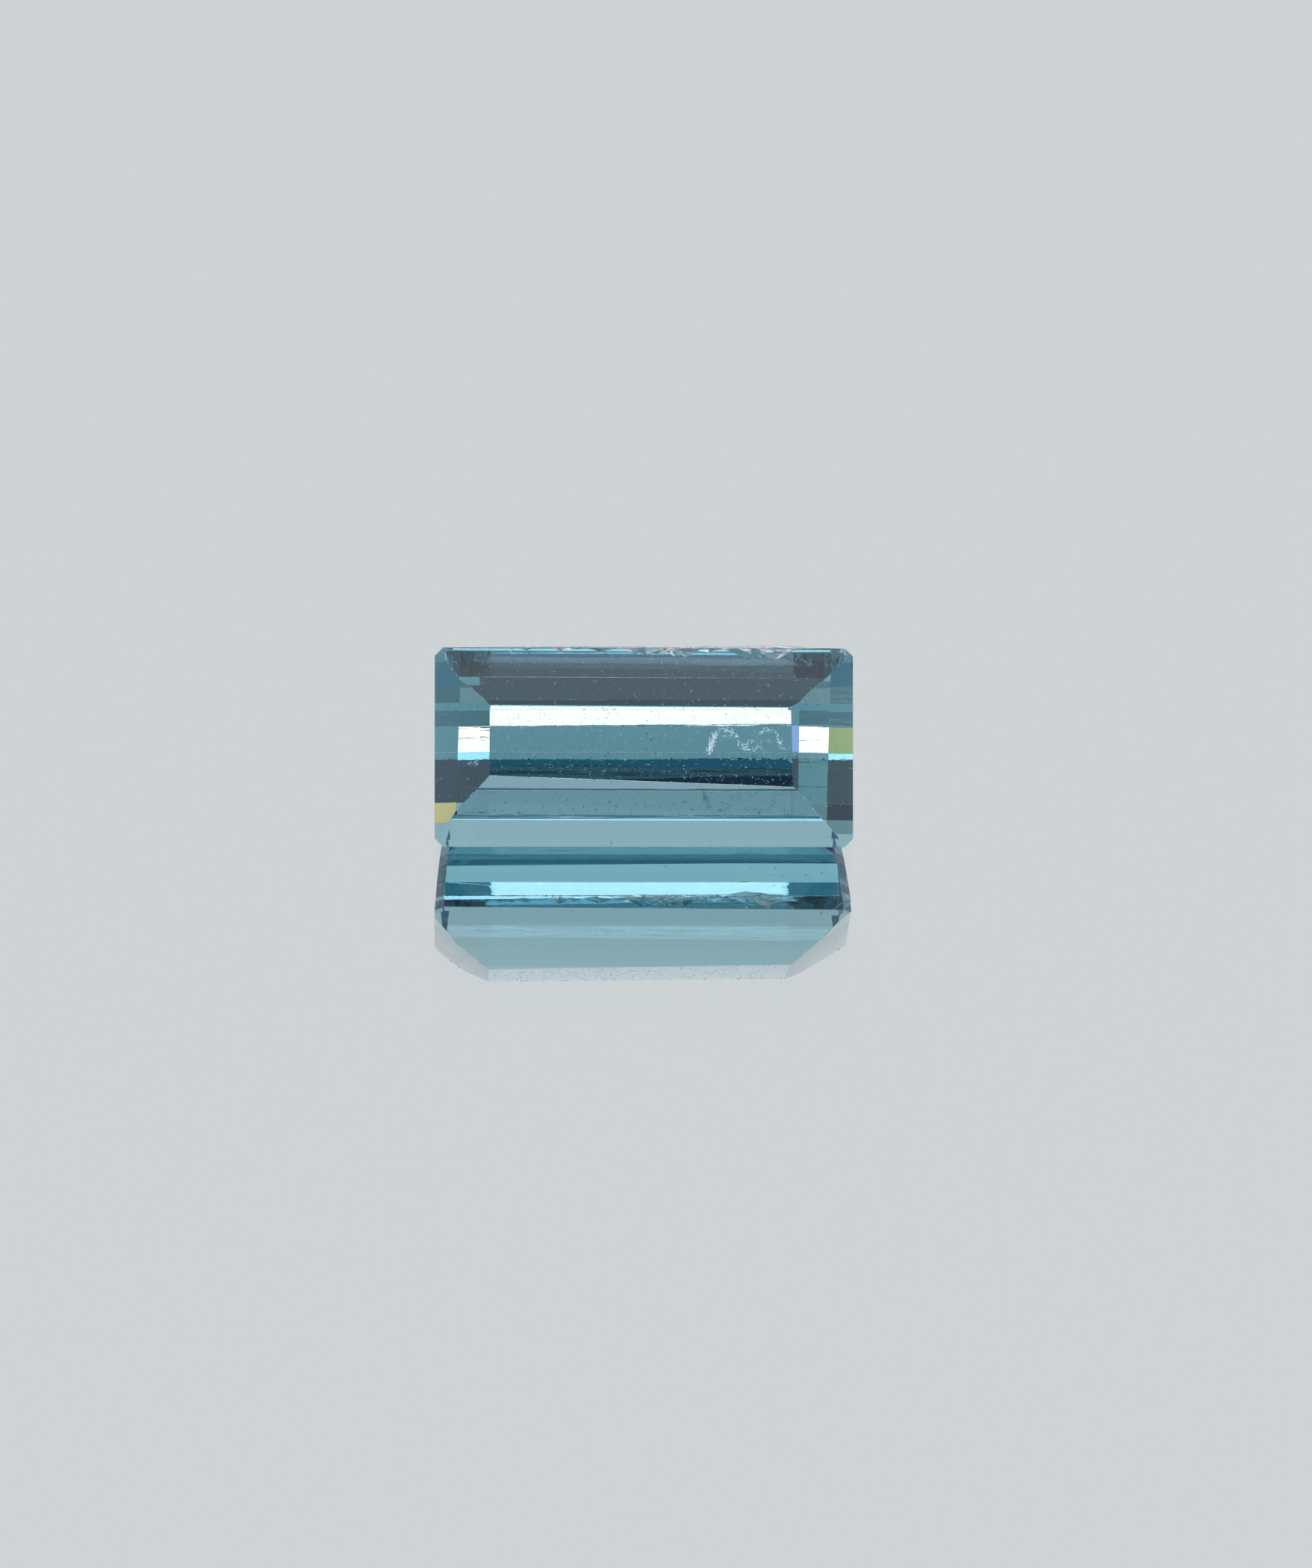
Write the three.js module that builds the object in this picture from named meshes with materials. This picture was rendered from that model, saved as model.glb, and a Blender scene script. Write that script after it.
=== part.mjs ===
// A faceted tourmaline: a long rectangular step cut ("baguette"), lying on one of the long
// facets of its pavilion, so that the table leans towards -Y.
//
// The stone is described the way a lapidary cuts it. In its own frame the crown is above and
// the pavilion below, the length runs along X, and the origin is the middle of the girdle.
// Every facet is a flat plane, and the stone is what all the planes leave between them.
import * as THREE from 'three';
import { mergeVertices } from 'three/addons/utils/BufferGeometryUtils.js';

// Driving dimensions, in millimetres and degrees.
const LENGTH = 7.5;
const WIDTH = 3.58;
const GIRDLE_TOP = 0.03; // height of the girdle's upper edge at the corners
const CORNER_TRIM = 0.15; // how far each upright corner is cut back along both sides
const CORNER_CROWN_SLOPE = 46;

// A facet is [slope, distance, swing]. The slope is its angle to the girdle's plane, and the
// distance is from the stone's centre to the facet's plane. The swing is a small error of the
// cut, a turn about the stone's upright axis, which makes the edges run slightly askew.
const TABLE = [0.58, 0.823, 0];
// The rows of facets on each side, from the girdle outwards.
const FRONT = {
  crown: [[38.6, 1.148, -0.78], [32.2, 1.056, -1], [30.3, 1.046, -1.04]],
  pavilion: [[65.3, 1.646, 0.17], [57.1, 1.611, 0.16], [48.5, 1.606, 0], [42.2, 1.685, 0]],
};
const BACK = {
  crown: [[38.1, 1.096, -1.02], [36.6, 1.085, -1], [27.8, 1.043, -1.42]],
  pavilion: [[65.5, 1.649, 0], [52.8, 1.58, 0], [50.1, 1.59, 0], [41.4, 1.689, 0]],
};
const LEFT = {
  crown: [[45.5, 2.722, -0.81], [32.6, 2.211, -0.15], [31.7, 2.178, -0.07]],
  pavilion: [[86, 3.741, 0], [84.5, 3.747, 0], [82, 3.78, 0]],
};
const RIGHT = {
  crown: [[40, 2.398, -0.02], [35.7, 2.219, 0.28], [19.5, 1.629, 1.5]],
  pavilion: [[85.5, 3.744, 0], [83, 3.751, 0], [80.5, 3.78, 0]],
};
const RESTING_ROW = 2; // the front pavilion row that the stone lies on

const COLOUR = 0x3f8f9b;
const MERGE_DISTANCE = 1e-5;
const BLOCK = 20; // half the size of the square that each facet is trimmed from

const radians = THREE.MathUtils.degToRad;

// The plane of a facet on the side that faces azimuth. A sign of -1 makes a pavilion facet.
function facet(azimuth, [slope, distance, swing], sign) {
  const lean = radians(slope);
  const turn = radians(azimuth + swing);
  const normal = new THREE.Vector3(
    Math.sin(lean) * Math.cos(turn), Math.sin(lean) * Math.sin(turn), sign * Math.cos(lean));
  return new THREE.Plane(normal, -distance);
}

function side(azimuth, halfSize, recipe) {
  return {
    girdle: facet(azimuth, [90, halfSize, 0], 1),
    crown: recipe.crown.map((row) => facet(azimuth, row, 1)),
    pavilion: recipe.pavilion.map((row) => facet(azimuth, row, -1)),
  };
}

// The narrow facet that cuts back the edge between two others by the corner trim.
function trimFacet(one, other) {
  const normal = one.normal.clone().add(other.normal);
  const constant = one.constant + other.constant + CORNER_TRIM;
  return new THREE.Plane(normal, constant).normalize();
}

// A trimmed corner: a narrow face on the girdle, a small triangle on the crown, and a strip
// down the pavilion with one length to each of its rows.
function corner(long, end) {
  const girdle = trimFacet(long.girdle, end.girdle);
  const azimuth = THREE.MathUtils.radToDeg(Math.atan2(girdle.normal.y, girdle.normal.x));
  const lean = radians(CORNER_CROWN_SLOPE);
  const reach = -girdle.constant * Math.sin(lean) + GIRDLE_TOP * Math.cos(lean);
  return [
    girdle,
    facet(azimuth, [CORNER_CROWN_SLOPE, reach, 0], 1),
    ...end.pavilion.map((plane, row) => trimFacet(long.pavilion[row], plane)),
  ];
}

const front = side(-90, WIDTH / 2, FRONT);
const back = side(90, WIDTH / 2, BACK);
const left = side(180, LENGTH / 2, LEFT);
const right = side(0, LENGTH / 2, RIGHT);
const planes = [
  facet(0, TABLE, 1),
  ...[front, back, left, right].flatMap((one) => [one.girdle, ...one.crown, ...one.pavilion]),
  ...[front, back].flatMap((long) => [left, right].flatMap((end) => corner(long, end))),
];

// A large square lying in a plane, wound to face along the plane's normal.
function squareIn(plane) {
  const turn = new THREE.Quaternion().setFromUnitVectors(new THREE.Vector3(0, 0, 1), plane.normal);
  const centre = plane.normal.clone().multiplyScalar(-plane.constant);
  return [[-1, -1], [1, -1], [1, 1], [-1, 1]].map(([x, y]) =>
    new THREE.Vector3(x * BLOCK, y * BLOCK, 0).applyQuaternion(turn).add(centre));
}

// The part of a flat outline that lies behind a plane.
function trimmed(outline, plane) {
  const kept = [];
  outline.forEach((point, i) => {
    const next = outline[(i + 1) % outline.length];
    const here = plane.distanceToPoint(point);
    const there = plane.distanceToPoint(next);
    if (here <= 0) kept.push(point);
    if (here * there < 0) kept.push(point.clone().lerp(next, here / (here - there)));
  });
  return kept;
}

// Each facet is its own plane's square, trimmed by every other plane, and cut into triangles.
function stoneGeometry() {
  const corners = [];
  for (const plane of planes) {
    const others = planes.filter((other) => other !== plane);
    const outline = others.reduce(trimmed, squareIn(plane));
    for (let i = 2; i < outline.length; i += 1) {
      for (const point of [outline[0], outline[i - 1], outline[i]]) corners.push(...point);
    }
  }
  const geometry = new THREE.BufferGeometry();
  geometry.setAttribute('position', new THREE.Float32BufferAttribute(corners, 3));
  return mergeVertices(geometry, MERGE_DISTANCE);
}

// Lay the stone on its resting facet, then put the origin under the middle of its box.
function laidDown(geometry) {
  geometry.rotateX(radians(FRONT.pavilion[RESTING_ROW][0]));
  geometry.computeBoundingBox();
  const box = geometry.boundingBox;
  const middle = box.getCenter(new THREE.Vector3());
  geometry.translate(-middle.x, -middle.y, -box.min.z);
  return geometry;
}

const material = new THREE.MeshStandardMaterial({
  color: COLOUR, roughness: 0.05, metalness: 0, transparent: true, opacity: 0.6,
  flatShading: true,
});
const tourmaline = new THREE.Mesh(laidDown(stoneGeometry()), material);
tourmaline.name = 'tourmaline';

const group = new THREE.Group();
group.add(tourmaline);
export default group;
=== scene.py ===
"""A faceted tourmaline on a mirror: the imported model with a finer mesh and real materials."""
import math
import random
import bmesh
import bpy
from mathutils import Matrix, Vector


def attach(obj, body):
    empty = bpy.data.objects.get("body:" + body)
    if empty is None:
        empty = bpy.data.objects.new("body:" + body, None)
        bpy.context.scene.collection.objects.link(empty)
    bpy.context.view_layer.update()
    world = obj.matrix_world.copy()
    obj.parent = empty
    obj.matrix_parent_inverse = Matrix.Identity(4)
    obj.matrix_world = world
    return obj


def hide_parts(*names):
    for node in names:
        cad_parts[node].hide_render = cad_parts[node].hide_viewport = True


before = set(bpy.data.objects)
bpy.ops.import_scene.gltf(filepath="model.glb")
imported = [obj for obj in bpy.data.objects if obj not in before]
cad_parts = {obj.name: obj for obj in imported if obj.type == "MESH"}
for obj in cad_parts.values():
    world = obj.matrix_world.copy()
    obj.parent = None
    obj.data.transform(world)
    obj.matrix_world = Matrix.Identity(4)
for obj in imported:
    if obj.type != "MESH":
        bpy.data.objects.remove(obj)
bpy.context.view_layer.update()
scene = bpy.context.scene
MM = 0.001
SEED = 7  # for the nicks, the dust, the feather and the slats, drawn in that order

# The camera looks down at the stone along +Y, through a long lens. Its values were fitted to the
# edges in the photograph by a scratch program. Angles are in degrees.
CAMERA_AIM = Vector((0.202, -1.341, 1.64)) * MM
CAMERA_DISTANCE = 233.333 * MM
CAMERA_LENS = 300
CAMERA_SENSOR = 36
CAMERA_CLIP = (10 * MM, 10)
CAMERA_ELEVATION = 37.62
CAMERA_TURN = -1.221
CAMERA_ROLL = 0.808


def turned(degrees, axis):
    return Matrix.Rotation(math.radians(degrees), 4, axis)


def make_camera():
    data = bpy.data.cameras.new("camera")
    data.lens = CAMERA_LENS
    data.sensor_width = CAMERA_SENSOR
    data.clip_start, data.clip_end = CAMERA_CLIP
    camera = bpy.data.objects.new("camera", data)
    scene.collection.objects.link(camera)
    aim = turned(CAMERA_TURN, "Z") @ turned(90 - CAMERA_ELEVATION, "X") @ turned(CAMERA_ROLL, "Z")
    back = aim.to_3x3() @ Vector((0, 0, CAMERA_DISTANCE))
    camera.matrix_world = Matrix.Translation(CAMERA_AIM + back) @ aim
    scene.camera = camera


make_camera()

# --- materials ---
STONE_IOR = 1.63
ABSORPTION = (350, 178, 142)  # per metre: red, green and blue, rounded from trial fits
ABSORPTION_DENSITY = 400  # more than any of them, because a colour's share is 1 - a / density
POLISH_WAVES = (  # length along X, length across it, height: all in millimetres
    (2.4, 0.20, 0.00036),
    (0.30, 0.03, 0.00004),
)
GLASS_SHINE = 0.043  # the share of light that clear glass reflects when seen square on
SILVER_TONE = (0.915, 0.905, 0.91, 1)
PALE_PATCH = 0.09 * MM  # the size of the darker and lighter patches in dust and feather
PALE_DARKEST = 0.6  # how dark the darker patches are


def new_material(name):
    material = bpy.data.materials.new(name)
    material.use_nodes = True
    material.node_tree.nodes.clear()
    return material, material.node_tree.nodes, material.node_tree.links


def stretched_noise(nodes, links, along, across):
    """Noise in object space that is drawn out along the stone's length."""
    place = nodes.new("ShaderNodeTexCoord")
    scale = nodes.new("ShaderNodeMapping")
    scale.inputs["Scale"].default_value = (1 / (along * MM), 1 / (across * MM), 1 / (across * MM))
    noise = nodes.new("ShaderNodeTexNoise")
    noise.inputs["Scale"].default_value = 1
    noise.inputs["Detail"].default_value = 2
    links.new(place.outputs["Object"], scale.inputs["Vector"])
    links.new(scale.outputs["Vector"], noise.inputs["Vector"])
    return noise.outputs["Fac"]


def stone_material():
    """Clear blue-green tourmaline, with the waves that polishing leaves on its facets."""
    material, nodes, links = new_material("tourmaline")
    surface = nodes.new("ShaderNodeBsdfPrincipled")
    surface.inputs["Base Color"].default_value = (1, 1, 1, 1)
    surface.inputs["Roughness"].default_value = 0
    surface.inputs["IOR"].default_value = STONE_IOR
    surface.inputs["Transmission Weight"].default_value = 1
    normal = None
    for along, across, height in POLISH_WAVES:
        bump = nodes.new("ShaderNodeBump")
        bump.inputs["Distance"].default_value = height * MM
        links.new(stretched_noise(nodes, links, along, across), bump.inputs["Height"])
        if normal:
            links.new(normal, bump.inputs["Normal"])
        normal = bump.outputs["Normal"]
    links.new(normal, surface.inputs["Normal"])
    volume = nodes.new("ShaderNodeVolumeAbsorption")
    share = [1 - a / ABSORPTION_DENSITY for a in ABSORPTION]
    volume.inputs["Color"].default_value = (*share, 1)
    volume.inputs["Density"].default_value = ABSORPTION_DENSITY
    output = nodes.new("ShaderNodeOutputMaterial")
    links.new(surface.outputs[0], output.inputs["Surface"])
    links.new(volume.outputs[0], output.inputs["Volume"])
    return material


def glass_material():
    """Clear glass seen from above: a faint reflection, and no bending."""
    material, nodes, links = new_material("mirror_glass")
    clear = nodes.new("ShaderNodeBsdfTransparent")
    shine = nodes.new("ShaderNodeBsdfGlossy")
    shine.inputs["Roughness"].default_value = 0.0
    facing = nodes.new("ShaderNodeLayerWeight")
    grazing = nodes.new("ShaderNodeMath")
    grazing.operation = "POWER"
    grazing.inputs[1].default_value = 5
    fresnel = nodes.new("ShaderNodeMath")
    fresnel.operation = "MULTIPLY_ADD"
    fresnel.inputs[1].default_value = 1 - GLASS_SHINE
    fresnel.inputs[2].default_value = GLASS_SHINE
    links.new(facing.outputs["Facing"], grazing.inputs[0])
    links.new(grazing.outputs[0], fresnel.inputs[0])
    mix = nodes.new("ShaderNodeMixShader")
    output = nodes.new("ShaderNodeOutputMaterial")
    links.new(fresnel.outputs[0], mix.inputs[0])
    links.new(clear.outputs[0], mix.inputs[1])
    links.new(shine.outputs[0], mix.inputs[2])
    links.new(mix.outputs[0], output.inputs["Surface"])
    return material


def silver_material():
    material, nodes, links = new_material("mirror_silver")
    surface = nodes.new("ShaderNodeBsdfGlossy")
    surface.inputs["Color"].default_value = SILVER_TONE
    surface.inputs["Roughness"].default_value = 0.0
    output = nodes.new("ShaderNodeOutputMaterial")
    links.new(surface.outputs[0], output.inputs["Surface"])
    return material


def pale_material(name, tone, roughness):
    """A pale surface, uneven in tone."""
    material, nodes, links = new_material(name)
    surface = nodes.new("ShaderNodeBsdfPrincipled")
    surface.inputs["Roughness"].default_value = roughness
    place = nodes.new("ShaderNodeTexCoord")
    noise = nodes.new("ShaderNodeTexNoise")
    noise.inputs["Scale"].default_value = 1 / PALE_PATCH
    noise.inputs["Detail"].default_value = 3
    tones = nodes.new("ShaderNodeValToRGB")
    darkest, lightest = tones.color_ramp.elements
    darkest.position = 0.35
    darkest.color = (*(value * PALE_DARKEST for value in tone), 1)
    lightest.position = 0.65
    lightest.color = (*tone, 1)
    links.new(place.outputs["Object"], noise.inputs["Vector"])
    links.new(noise.outputs["Fac"], tones.inputs["Fac"])
    links.new(tones.outputs["Color"], surface.inputs["Base Color"])
    output = nodes.new("ShaderNodeOutputMaterial")
    links.new(surface.outputs[0], output.inputs["Surface"])
    return material


def mesh_object(name, vertices, faces, material):
    mesh = bpy.data.meshes.new(name)
    mesh.from_pydata(vertices, [], faces)
    mesh.materials.append(material)
    thing = bpy.data.objects.new(name, mesh)
    scene.collection.objects.link(thing)
    return thing


# --- the stone ---
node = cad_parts["tourmaline"]
TABLE_FACING = Vector((0.010, -0.749, 0.663))
TABLE_LIKENESS = 0.999  # a facet that faces this much like the table is the table
STRIP_LIKENESS = 0.99999  # and a face that faces this much like a cutting plane lies in it
MERGE_DISTANCE = 1e-4  # millimetres, as all that follows
FLAT_ANGLE = 0.3  # degrees: triangles that turn less than this belong to one facet
CUT_TOLERANCE = 1e-6
CUT_MERGE_DISTANCE = 5e-5

# The edges that wear most, in millimetres and degrees. The rim is the long back edge of the
# girdle, and a mitre is an edge of the crown that runs up towards a corner of the table.
WORN_LEAST_TURN = 12
LONG_EDGE = 3
RIM_LEAST_HEIGHT = 2.7
RIM_LEAST_Y = 0.6
TABLE_EDGE_LEAST_HEIGHT = 2.45
MITRE_LEAST_RUN = 0.25
CROWN_LEVEL = 1.3  # just above the girdle, measured the way the table faces
# These amounts also set how many pale specks line each edge: grit, and a painted highlight on the
# rim and the mitres.
RIM_WEAR_AND_HIGHLIGHT, WEAR_TABLE, MITRE_WEAR_AND_HIGHLIGHT, WEAR_OTHER = 1.0, 0.4, 0.3, 0.16

# Each edge is blunted to a narrow strip, and nicks widen it here and there.
STRIP_WIDTH = 0.005
WORN_WIDTH = 0.010
STRIP_LEAST_TURN = 4
STRIP_LEAST_LENGTH = 0.06
STATION_STEP = 0.022  # between the places where a strip's border bends
STATION_SHIFT = 0.3
EDGE_FADE = 0.06
NICKS_PER_MM = 6
NICK_HALF_LENGTH = (0.010, 0.045)
NICK_REACH = 0.010
FRESH_REACH = 0.4  # the share of a nick's reach that doesn't depend on wear
NICK_SHARE = 0.35  # the most that a nick may take of the facet beside it
RAGGEDNESS = 0.0015
SIDE_SHARES = (0.5, 1.0)  # how much of a nick is on a strip's first side; the other has the rest
HOLLOW_REACH = 0.004  # a nick that reaches further than this is hollow
HOLLOW_DEPTH = (0.05, 0.3)  # for a strip's width of 1
ROUND_RISE = 0.05  # how far a strip bulges where it isn't hollow, for a width of 1


def facet_mesh():
    """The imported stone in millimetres, with one face for each facet."""
    mesh = bmesh.new()
    mesh.from_mesh(node.data)
    bmesh.ops.scale(mesh, vec=(1 / MM,) * 3, verts=mesh.verts)
    bmesh.ops.remove_doubles(mesh, verts=mesh.verts, dist=MERGE_DISTANCE)
    bmesh.ops.dissolve_limit(
        mesh, angle_limit=math.radians(FLAT_ANGLE), verts=mesh.verts, edges=mesh.edges)
    return mesh


def is_table(facing):
    return facing.dot(TABLE_FACING) > TABLE_LIKENESS


def edge_wear_and_highlight(edge):
    """How worn an edge is, which also sets the pale specks along it: grit, and a painted highlight.
    The long edges on top are knocked most, then the crown's mitres.
    """
    start, end = (corner.co for corner in edge.verts)
    middle, run = (start + end) / 2, end - start
    along, across = abs(run.x), math.hypot(run.y, run.z)
    if math.degrees(edge.calc_face_angle()) <= WORN_LEAST_TURN:
        return WEAR_OTHER
    if along > LONG_EDGE and middle.z > RIM_LEAST_HEIGHT and middle.y > RIM_LEAST_Y:
        return RIM_WEAR_AND_HIGHLIGHT
    if along > LONG_EDGE and middle.z > TABLE_EDGE_LEAST_HEIGHT:
        return WEAR_TABLE
    if min(along, across) > MITRE_LEAST_RUN and middle.dot(TABLE_FACING) > CROWN_LEVEL:
        return MITRE_WEAR_AND_HIGHLIGHT
    return WEAR_OTHER


def strip_planes(mesh):
    """A plane across each sharp edge: a point, the direction it faces and the edge's wear."""
    planes = []
    for edge in mesh.edges:
        turn, wear_and_highlight = edge.calc_face_angle(), edge_wear_and_highlight(edge)
        if edge.calc_length() < STRIP_LEAST_LENGTH or math.degrees(turn) < STRIP_LEAST_TURN:
            continue
        facing = (edge.link_faces[0].normal + edge.link_faces[1].normal).normalized()
        middle = (edge.verts[0].co + edge.verts[1].co) / 2
        width = WORN_WIDTH if wear_and_highlight > WEAR_OTHER else STRIP_WIDTH
        planes.append((middle - facing * (width / 2 * math.tan(turn / 2)), facing, wear_and_highlight))
    return planes


def cut(mesh, point, facing):
    """Cut off what is beyond a plane, and close the stone again."""
    everything = list(mesh.verts) + list(mesh.edges) + list(mesh.faces)
    bmesh.ops.bisect_plane(
        mesh, geom=everything, dist=CUT_TOLERANCE, plane_co=point, plane_no=facing, clear_outer=True)
    rim = [edge for edge in mesh.edges if edge.is_boundary]
    bmesh.ops.holes_fill(mesh, edges=rim, sides=0)


def long_sides(face):
    """A strip's two longest sides, as loops."""
    return sorted(face.loops, key=lambda loop: -loop.edge.calc_length())[:2]


def nicked(length, wear_and_highlight):
    """How far a strip's border strays at each place along it."""
    count = round(length * wear_and_highlight * NICKS_PER_MM)
    nicks = [(random.uniform(0, length), random.uniform(*NICK_HALF_LENGTH), random.random() ** 2)
             for _ in range(count)]

    def reach(place):
        far = max((depth * math.sqrt(max(0, 1 - ((place - at) / half) ** 2))
                   for at, half, depth in nicks), default=0)
        far *= NICK_REACH * (FRESH_REACH + (1 - FRESH_REACH) * wear_and_highlight)
        fade = min(1, place / EDGE_FADE, (length - place) / EDGE_FADE)
        return max(0, fade) * (far + random.uniform(0, RAGGEDNESS))

    return reach


def split_side(loop, places):
    """Put new corners on one side of a strip, and return all its corners in loop order."""
    first, last, edge = loop.vert, loop.link_loop_next.vert, loop.edge
    corners, here = [first], 0
    for place in places:
        edge, corner = bmesh.utils.edge_split(edge, corners[-1], (place - here) / (1 - here))
        edge = next(e for e in corner.link_edges if last in e.verts)
        corners.append(corner)
        here = place
    return corners + [last]


def side_room(face, loop, length):
    """Which way one side of a strip may stray into the facet beside it, and how far."""
    beside = next(other for other in loop.edge.link_faces if other is not face)
    start, end = loop.vert.co, loop.link_loop_next.vert.co
    out = (end - start).cross(beside.normal).normalized()
    if out.dot((start + end) / 2 - face.calc_center_median()) < 0:
        out.negate()
    return out, NICK_SHARE * beside.calc_area() / length


def wear_strip(mesh, face, wear_and_highlight):
    """Give one strip a ragged border and a hollow middle where it is nicked."""
    one, two = long_sides(face)
    length = one.edge.calc_length()
    count = int(length / STATION_STEP)
    if count < 3 or one.link_loop_next is two or two.link_loop_next is one:
        return
    facing = face.normal.copy()
    rooms = [side_room(face, loop, length) for loop in (one, two)]
    places = [(i + random.uniform(-STATION_SHIFT, STATION_SHIFT)) / count for i in range(1, count)]
    reach = nicked(length, wear_and_highlight)
    straying = [reach(place * length) for place in places]
    shares = [random.uniform(*SIDE_SHARES) for _ in places]
    # The second side's corners run the other way along the strip.
    stations = (
        (places, straying, shares),
        ([1 - place for place in reversed(places)], straying[::-1],
         [sum(SIDE_SHARES) - share for share in reversed(shares)]),
    )
    rows = []
    for loop, (out, room), (where, how_far, how_much) in zip((one, two), rooms, stations):
        row = split_side(loop, where)
        for corner, far, share in zip(row[1:-1], how_far, how_much):
            corner.co += out * min(room, far * share)
        rows.append(row)
    fill_strip(mesh, face, rows, straying, facing)


def fill_strip(mesh, face, rows, straying, facing):
    """Replace a strip by two rows of faces that meet along its hollowed middle."""
    near, far = rows[0], rows[1][::-1]
    ring = [loop.vert for loop in face.loops]
    ring = ring[ring.index(near[-1]):] + ring[:ring.index(near[-1])]
    tail = ring[:ring.index(far[-1]) + 1]
    head = ring[ring.index(far[0]):ring.index(near[0]) + 1]
    bmesh.ops.delete(mesh, geom=[face], context="FACES_KEEP_BOUNDARY")
    spine = []
    for a, b, depth in zip(near[1:-1], far[1:-1], straying):
        width = (a.co - b.co).length
        sink = width * (random.uniform(*HOLLOW_DEPTH) if depth > HOLLOW_REACH else -ROUND_RISE)
        spine.append(mesh.verts.new((a.co + b.co) / 2 - facing * sink))
    for i in range(len(spine) - 1):
        mesh.faces.new((near[i + 1], near[i + 2], spine[i + 1], spine[i]))
        mesh.faces.new((spine[i], spine[i + 1], far[i + 2], far[i + 1]))
    ends = ((spine[-1], [near[-2]] + tail + [far[-2]]), (spine[0], [far[1]] + head + [near[1]]))
    for centre, chain in ends:
        for a, b in zip(chain, chain[1:]):
            mesh.faces.new((a, b, centre))


def lies_on(face, point, facing):
    """Whether a face lies in the plane that cut it."""
    height = (face.verts[0].co - point).dot(facing)
    return face.normal.dot(facing) > STRIP_LIKENESS and abs(height) < MERGE_DISTANCE


def make_stone():
    mesh = facet_mesh()
    planes = strip_planes(mesh)
    for point, facing, _ in planes:
        cut(mesh, point, facing)
    bmesh.ops.remove_doubles(mesh, verts=mesh.verts, dist=CUT_MERGE_DISTANCE)
    bmesh.ops.recalc_face_normals(mesh, faces=mesh.faces)
    for point, facing, wear_and_highlight in planes:
        strip = next((face for face in mesh.faces if lies_on(face, point, facing)), None)
        if strip:
            wear_strip(mesh, strip, wear_and_highlight)
    bmesh.ops.triangulate(mesh, faces=[face for face in mesh.faces if len(face.verts) > 4])
    bmesh.ops.recalc_face_normals(mesh, faces=mesh.faces)
    bmesh.ops.scale(mesh, vec=(MM,) * 3, verts=mesh.verts)
    data = bpy.data.meshes.new("cut_stone")
    mesh.to_mesh(data)
    mesh.free()
    for polygon in data.polygons:
        polygon.use_smooth = False
    data.materials.append(stone_material())
    stone = bpy.data.objects.new("cut_stone", data)
    scene.collection.objects.link(stone)
    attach(stone, "root")
    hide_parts("tourmaline")


random.seed(SEED)
make_stone()

# --- dust, and pale specks along the worn edges that are grit and a painted highlight, in millimetres ---
DUST_CLUMPS = 1300
CLUMP_SIZES = (1, 1, 1, 2, 5)  # how many specks a clump has
CLUMP_SPREAD = 0.022
DUST_ON_TABLE, DUST_ON_CROWN, DUST_ELSEWHERE = 4.0, 1.4, 0.4  # how dusty each sort of facet is
CROWN_LEAST_UPWARD = 0.8
DUST_UNDERNEATH = 0.3  # a facet may lean this far downwards and still hold some dust
# The dust's tone also colours the pale specks along the worn edges, which paint a highlight on the
# rim and the mitres.
DUST_AND_EDGE_HIGHLIGHT_TONE = (0.50, 0.76, 0.86)
DUST_ROUGHNESS = 0.8

# A speck is a ring of corners on the facet, with one corner above and one below.
SPECK_HALF_SIZE = (0.0025, 0.0065)
SPECK_SIZES = (0.7, 1, 1, 1, 1.7)
SPECK_RING = (5, 6, 7)
SPECK_STRETCH = (1, 1.8)
SPECK_OUTLINE = (0.6, 1.2)
SPECK_HEIGHT = (0.6, 1.0)
SPECK_WAIST = 0.15
# The worn edges are lined with pale specks: grit in their nicks, and a painted highlight that
# lightens the rim and the mitres.
EDGE_SPECKS_PER_MM = 60
EDGE_COARSENESS = 1.5
EDGE_SPECK_SINK = 0.001

LINT_COUNT = 14
LINT_LENGTH = (0.05, 0.16)
LINT_HALF_WIDTH = 0.0022
LINT_HEIGHT = 1.4  # for a half width of 1
LINT_TAPER = 0.35
LINT_STEPS = 7
LINT_CURL = 14  # degrees a step


def dustiness(facing):
    if is_table(facing):
        return DUST_ON_TABLE
    if facing.z > CROWN_LEAST_UPWARD:
        return DUST_ON_CROWN
    return DUST_ELSEWHERE * max(0, facing.z + DUST_UNDERNEATH)


def scattered(mesh, count):
    """Random places on the stone's facets, with the direction each facet faces."""
    triangles, weights = [], []
    for face in mesh.faces:
        corners = [corner.co for corner in face.verts]
        for b, c in zip(corners[1:], corners[2:]):
            area = (b - corners[0]).cross(c - corners[0]).length / 2
            triangles.append((corners[0].copy(), b.copy(), c.copy(), face.normal.copy()))
            weights.append(area * dustiness(face.normal))
    for a, b, c, facing in random.choices(triangles, weights, k=count):
        s, t = math.sqrt(random.random()), random.random()
        yield a * (1 - s) + b * (s * (1 - t)) + c * (s * t), facing


def along_edges_for_grit_and_highlight(mesh):
    """Places on the worn edges for specks of grit and painted highlight, with a direction midway
    between their facets.
    """
    for edge in mesh.edges:
        start, end = (corner.co for corner in edge.verts)
        wear_and_highlight = edge_wear_and_highlight(edge)
        if wear_and_highlight > WEAR_OTHER:
            facing = (edge.link_faces[0].normal + edge.link_faces[1].normal).normalized()
            for _ in range(round(edge.calc_length() * wear_and_highlight * EDGE_SPECKS_PER_MM)):
                yield start.lerp(end, random.random()) - facing * EDGE_SPECK_SINK, facing


def random_direction(facing):
    """A direction that lies in a facet."""
    direction = facing.orthogonal().normalized()
    direction.rotate(Matrix.Rotation(random.uniform(0, math.tau), 3, facing))
    return direction


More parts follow.
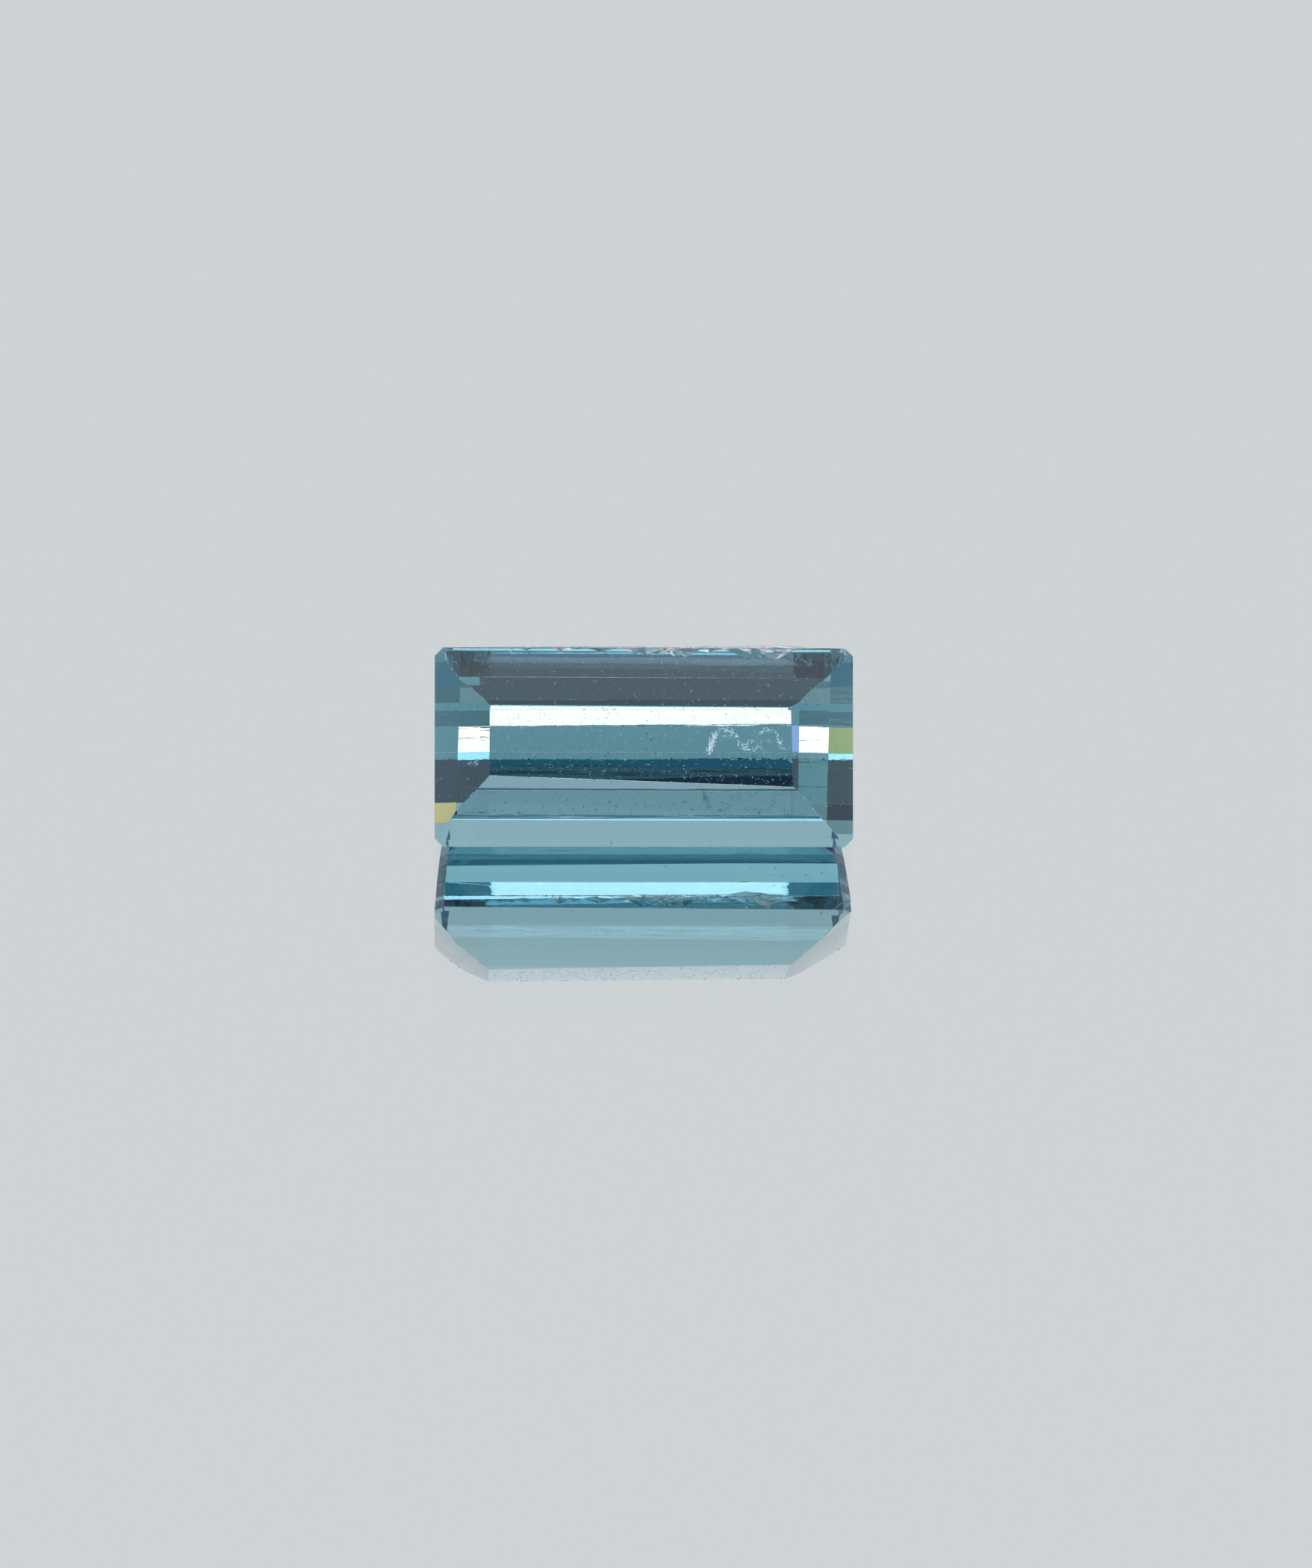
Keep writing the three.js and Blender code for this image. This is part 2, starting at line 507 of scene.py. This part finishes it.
def add_speck(corners, faces, place, facing, coarseness=1):
    """One angular grain that lies flat on a facet."""
    size = random.uniform(*SPECK_HALF_SIZE) * random.choice(SPECK_SIZES) * coarseness
    across = random_direction(facing)
    along = facing.cross(across)
    start = len(corners)
    ring = random.choice(SPECK_RING)
    stretch = random.uniform(*SPECK_STRETCH)
    for i in range(ring):
        turn = math.tau * i / ring
        out = size * random.uniform(*SPECK_OUTLINE)
        corners.append(place + across * (out * stretch * math.cos(turn))
                       + along * (out * math.sin(turn)) + facing * size * SPECK_WAIST)
    corners.append(place + facing * size * random.uniform(*SPECK_HEIGHT))
    corners.append(place)
    top, bottom = start + ring, start + ring + 1
    for i in range(ring):
        j = (i + 1) % ring
        faces.append((start + i, start + j, top))
        faces.append((start + j, start + i, bottom))


def add_lint(corners, faces, place, facing):
    """A short curved fibre or scratch, three-sided all along."""
    step = random.uniform(*LINT_LENGTH) / LINT_STEPS
    along = random_direction(facing)
    curl = math.radians(random.uniform(-LINT_CURL, LINT_CURL))
    start = len(corners)
    here = place.copy()
    for i in range(LINT_STEPS + 1):
        width = LINT_HALF_WIDTH * (LINT_TAPER if i in (0, LINT_STEPS) else 1)
        side = facing.cross(along)
        for corner in (-side * width, side * width, facing * width * LINT_HEIGHT):
            corners.append(here + corner)
        here = here + along * step
        along.rotate(Matrix.Rotation(curl, 3, facing))
    for i in range(LINT_STEPS):
        a = start + 3 * i
        for j in range(3):
            k = (j + 1) % 3
            faces.append((a + j, a + k, a + 3 + k, a + 3 + j))
    end = start + 3 * LINT_STEPS
    faces.append((start + 2, start + 1, start))
    faces.append((end, end + 1, end + 2))


def make_dust_and_edge_highlight():
    mesh = facet_mesh()
    corners, faces = [], []
    for place, facing in scattered(mesh, DUST_CLUMPS):
        across = facing.orthogonal().normalized()
        along = facing.cross(across)
        for _ in range(random.choice(CLUMP_SIZES)):
            shift = across * random.gauss(0, CLUMP_SPREAD) + along * random.gauss(0, CLUMP_SPREAD)
            add_speck(corners, faces, place + shift, facing)
    for place, facing in scattered(mesh, LINT_COUNT):
        add_lint(corners, faces, place, facing)
    # Pale specks along the worn edges: grit, and a painted highlight on the rim and the mitres.
    for place, facing in along_edges_for_grit_and_highlight(mesh):
        add_speck(corners, faces, place, facing, EDGE_COARSENESS)
    mesh.free()
    dust_and_edge_highlight = mesh_object("dust_and_edge_highlight", [corner * MM for corner in corners], faces,
                       pale_material("dust_and_edge_highlight", DUST_AND_EDGE_HIGHLIGHT_TONE, DUST_ROUGHNESS))
    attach(dust_and_edge_highlight, "root")


make_dust_and_edge_highlight()

# --- the feather, in millimetres ---
# It is a crack under the table, made of many small scales along curved lines. A line is a list
# of places across the table and up the table from the table's middle, then how many scales it
# has and how long they are.
FEATHER_TONE = (0.70, 0.91, 1.0)
FEATHER_ROUGHNESS = 0.12
FEATHER_COVER = 0.5
FEATHER_DEPTH = (0.03, 0.09)
FEATHER_LINES = (
    (((1.22, -0.18), (1.25, -0.04), (1.28, 0.08), (1.34, 0.18)), 60, 0.09),
    (((1.25, -0.08), (1.27, 0.04)), 45, 0.08),
    (((1.34, 0.18), (1.42, 0.26), (1.54, 0.25), (1.66, 0.18)), 50, 0.07),
    (((1.66, 0.18), (1.76, 0.02), (1.84, -0.10), (2.02, -0.14)), 46, 0.07),
    (((1.85, -0.10), (1.95, 0.02), (2.10, 0.14), (2.24, 0.25)), 46, 0.07),
    (((2.24, 0.25), (2.40, 0.20), (2.46, 0.05), (2.52, -0.10)), 40, 0.07),
    (((2.02, -0.14), (2.14, -0.02), (2.30, 0.06)), 24, 0.06),
    (((1.40, 0.07), (1.52, 0.12), (1.62, 0.11)), 20, 0.05),
)
SCALE_SPREAD = 0.028
SCALE_TURN = 0.5  # radians
SCALE_LENGTHS = (0.3, 1)
SCALE_OUTLINE = ((-0.5, 0.2), (0.1, 1), (0.5, 0.1), (0, -0.6))  # along it, across it
SCALE_WIDTH = 0.12  # for a length of 1
SCALE_LIFT = 0.002  # how far a scale's corners rise out of its plane, for a length of 1
SCALE_LEAN = 0.026  # how much deeper the scales lie towards the table's upper edge


def feather_material():
    """Thin scales of a crack full of air: they mirror what is above, and are half seen through."""
    material = pale_material("feather", FEATHER_TONE, FEATHER_ROUGHNESS)
    surface = material.node_tree.nodes["Principled BSDF"]
    surface.inputs["Metallic"].default_value = 1
    surface.inputs["Alpha"].default_value = FEATHER_COVER
    return material


def along_line(points, share):
    """The place at a share of the way along a line, and the line's direction there."""
    at = share * (len(points) - 1)
    i = min(int(at), len(points) - 2)
    start, end = Vector(points[i]), Vector(points[i + 1])
    return start.lerp(end, at - i), (end - start).normalized()


def scale_corners(points, size):
    """The corners of one scale: across the table, up the table and down into the stone."""
    place, along = along_line(points, random.random())
    place += Vector((random.gauss(0, SCALE_SPREAD), random.gauss(0, SCALE_SPREAD)))
    along = along @ Matrix.Rotation(random.gauss(0, SCALE_TURN), 2)
    side = Vector((-along.y, along.x))
    length = size * random.uniform(*SCALE_LENGTHS)
    depth = random.uniform(*FEATHER_DEPTH)
    for out, wide in SCALE_OUTLINE:
        flat = place + along * (out * length) + side * (wide * length * SCALE_WIDTH)
        lift = random.gauss(0, SCALE_LIFT) * length + SCALE_LEAN * (flat.y - place.y)
        yield flat.x, flat.y, depth + lift


def make_feather():
    up = Vector((0, 0, 1)) - TABLE_FACING * TABLE_FACING.z
    up.normalize()
    across = up.cross(TABLE_FACING).normalized()
    mesh = facet_mesh()
    table = next(face for face in mesh.faces if is_table(face.normal))
    origin = table.calc_center_median()
    mesh.free()
    corners, faces = [], []
    for points, count, size in FEATHER_LINES:
        for _ in range(count):
            start = len(corners)
            for x, y, depth in scale_corners(points, size):
                corners.append(origin + across * x + up * y - TABLE_FACING * depth)
            faces.append((start, start + 1, start + 3))
            faces.append((start + 1, start + 2, start + 3))
    feather = mesh_object("feather", [corner * MM for corner in corners], faces, feather_material())
    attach(feather, "root")


make_feather()

# --- the floor: a pale mirror, clear glass over silver ---
GLASS_TOP = -0.003 * MM
SILVER_DEPTH = 0.463 * MM  # about as deep as the silver under 1 mm of glass looks from the camera
FLOOR_HALF = 400 * MM


def floor_sheet(name, z, material):
    corners = [(x * FLOOR_HALF, y * FLOOR_HALF, z) for x, y in ((-1, -1), (1, -1), (1, 1), (-1, 1))]
    sheet = mesh_object(name, corners, [(0, 1, 2, 3)], material)


floor_sheet("mirror_glass", GLASS_TOP, glass_material())
floor_sheet("mirror_silver", -SILVER_DEPTH, silver_material())

# --- light ---
# The studio is a pale room with glowing and dark cards in it. A card goes from one phi to another
# and from one psi to another, in degrees: phi runs from the far side (0) over the top (90) to the
# camera's side (180), and psi to the left (-) and to the right (+). They are placed for this
# camera, from which each facet shows one spot of the room. A scratch program that traced light
# through the stone gave the directions, which were then moved and rounded by hand. Open cards
# light everything, and clear cards are seen only through the stone.
ROOM_TONE = (0.69, 0.73, 0.75, 1)
CARD_DISTANCE = 2.0
CARD_STEP = 0.01  # how much nearer each card hangs than the one before it
CARD_MESH_STEP = 4
# Every card has one of these tones, each red, green and blue.
BLACK = (0.0, 0.04, 0.08)
NIGHT = (0.04, 0.24, 0.34)
DIM = (0.15, 0.15, 0.18)
SHADE = (0.30, 0.40, 0.42)
MIDDLE = (0.60, 0.70, 0.70)
PALE = (0.95, 0.8, 0.8)
COOL = (0.7, 0.95, 1.0)
SOFT = (1.0, 1.05, 1.1)
BRIGHT = (1.5, 1.9, 2.1)
WINDOW = (3.0, 2.8, 2.8)
WARM = (2.0, 1.1, 0.4)
FRINGE = (1.8, 1.2, 1.9)
LAMP = (9.5, 3.9, 2.8)
OPEN_CARDS = (
    (55, 65, -12, 12, SOFT),  # a soft light overhead
    (130.5, 138.5, -4, 10, DIM),  # what the table mirrors
    (129.5, 130.5, -4, 10, COOL),
    (44.5, 46.5, -3, 4, NIGHT),
    (145, 151, -28, -23, NIGHT),
    (148, 153, 32, 36.5, NIGHT),
    (166.5, 170.5, -27, -24, SHADE),
)
CLEAR_CARDS = (
    # the far side: the mirror image under the stone
    (18, 24, -8, 8, MIDDLE),
    (26, 27.5, -8, 8, MIDDLE),
    (27.5, 28.5, -8, 8, SOFT),
    # overhead: the lower facets in front, and the back of the crown
    (54.9, 55.6, -8, 8, BRIGHT),
    (80, 92, -36, 36, DIM),
    (84, 86.5, -8, 8, COOL),
    (72, 74.8, -8, 8, BRIGHT),
    (74.8, 78, -8, 8, NIGHT),
    (74.8, 77, -0.26, 1.2, BRIGHT),
    (93, 94, -8, 8, BRIGHT),
    (97.5, 98.3, -8, 8, PALE),
    (98.3, 99.5, -8, 8, WINDOW),
    (100.5, 104.5, -8, 8, NIGHT),
    (105.5, 108.5, -8, 8, DIM),
    # the lamp that makes the table's white band, and what is beside it
    (115.5, 119.5, -6, 8, LAMP),
    (120.5, 122.5, -8, 8, PALE),
    (123.5, 126, -8, 8, COOL),
    (127.5, 133, -4, 8, WINDOW),
    # the dark side, where the camera stands: the table's dark band and the crown
    (136, 181, -37, 37, DIM),
    (134.5, 136, -3, 6, LAMP),
    (136.5, 139, -6, 8, DIM),
    (139, 141, -6, 8, NIGHT),
    (141.2, 143.6, -6, 10, PALE),
    (143.8, 146.2, -6, 8, DIM),
    (146.2, 151, -6, 8, BLACK),
    # the stone's left end
    (76, 79, 30, 36, WARM),
    (103, 105.5, 30, 36, SHADE),
    (108, 112, 30, 36, SHADE),
    (111.5, 114, 21, 25, SHADE),
    (119.6, 121, 21, 23.5, WINDOW),
    (139, 140.9, 22.6, 25, LAMP),
    (140.9, 141.6, 22.3, 23, NIGHT),
    (136, 139, 33, 36, MIDDLE),
    (136, 137, 28, 31, MIDDLE),
    (142, 144, 28, 32, PALE),
    # its right end
    (40.5, 42.5, -29, -26.5, SHADE),
    (69, 71, -25, -22, SHADE),
    (71, 74, -29, -25, BLACK),
    (111, 113, -27, -24, SHADE),
    (113, 115, -24, -20, SHADE),
    (120, 121.6, -24, -21.5, PALE),
    (120, 121.6, -27.5, -25.3, WINDOW),
    (140.4, 141.6, -22.3, -21, LAMP),
    (139.9, 141.6, -26, -24.3, WARM),
    (141.8, 144, -23.6, -21.5, MIDDLE),
    (141.2, 142.5, -10.2, -9.2, FRINGE),
    (142.6, 143.6, -11, -9.8, PALE),
    (142.6, 144.6, -33, -29, PALE),
    (150.5, 155, -24, -21, MIDDLE),
)
# Blinds are split into slats, each with its own mix of two tones. A row ends with the slats'
# width and the two tones.
SLAT_DARKENING = 1.5  # above 1, so that most slats are nearer to the darker tone
BLINDS = (
    (26.8, 27.4, -8, 8, 0.05, MIDDLE, SOFT),
    (74.85, 75.5, -0.26, 1.2, 0.05, BRIGHT, WINDOW),
    (147.2, 148.7, -6, 8, 0.1, BLACK, SHADE),
)


def toward(phi, psi):
    over, aside = math.radians(phi), math.radians(psi)
    flat = math.cos(aside)
    return Vector((math.sin(aside), flat * math.cos(over), flat * math.sin(over)))


def card_material():
    material, nodes, links = new_material("light_card")
    colour = nodes.new("ShaderNodeAttribute")
    colour.attribute_name = "glow"
    glow = nodes.new("ShaderNodeEmission")
    output = nodes.new("ShaderNodeOutputMaterial")
    links.new(colour.outputs["Color"], glow.inputs["Color"])
    links.new(glow.outputs[0], output.inputs["Surface"])
    return material


def slats():
    """The rows of all blinds' slats, in the same form as a card's row."""
    rows = []
    for low, high, left, right, pitch, dark, bright in BLINDS:
        count = round((high - low) / pitch)
        for i in range(count):
            share = random.random() ** SLAT_DARKENING
            colour = tuple(d + (b - d) * share for d, b in zip(dark, bright))
            rows.append((low + i * pitch, low + (i + 1) * pitch, left, right, colour))
    return rows


def cards(name, layers, in_reflections):
    """One mesh of glowing patches. A later layer hangs in front of an earlier one."""
    corners, faces, colours = [], [], []
    distance = CARD_DISTANCE
    for rows in layers:
        for low, high, left, right, colour in rows:
            start = len(corners)
            steps = max(1, round((high - low) / CARD_MESH_STEP))
            sides = max(1, round((right - left) / CARD_MESH_STEP))
            for i in range(steps + 1):
                for j in range(sides + 1):
                    phi = low + (high - low) * i / steps
                    psi = left + (right - left) * j / sides
                    corners.append(toward(phi, psi) * distance)
            for i in range(steps):
                for j in range(sides):
                    a = start + i * (sides + 1) + j
                    faces.append((a, a + 1, a + sides + 2, a + sides + 1))
                    colours += [(*colour, 1)] * 4
        distance -= CARD_STEP
    thing = mesh_object(name, corners, faces, card_material())
    glow = thing.data.color_attributes.new("glow", "FLOAT_COLOR", "CORNER")
    for item, colour in zip(glow.data, colours):
        item.color = colour
    thing.matrix_world = turned(CAMERA_TURN, "Z")
    thing.visible_camera = False
    thing.visible_glossy = in_reflections
    thing.visible_diffuse = in_reflections
    thing.visible_shadow = False


def make_light():
    world = bpy.data.worlds.new("studio")
    world.use_nodes = True
    world.node_tree.nodes["Background"].inputs["Color"].default_value = ROOM_TONE
    scene.world = world
    cards("open_cards", [[row] for row in OPEN_CARDS], True)
    cards("clear_cards", [[row] for row in CLEAR_CARDS] + [slats()], False)


make_light()

# Light goes to and fro in the stone many times before it comes out.
BOUNCES = 32
scene.view_settings.view_transform = "Standard"
scene.cycles.max_bounces = BOUNCES
scene.cycles.glossy_bounces = BOUNCES
scene.cycles.transmission_bounces = BOUNCES
scene.cycles.transparent_max_bounces = BOUNCES
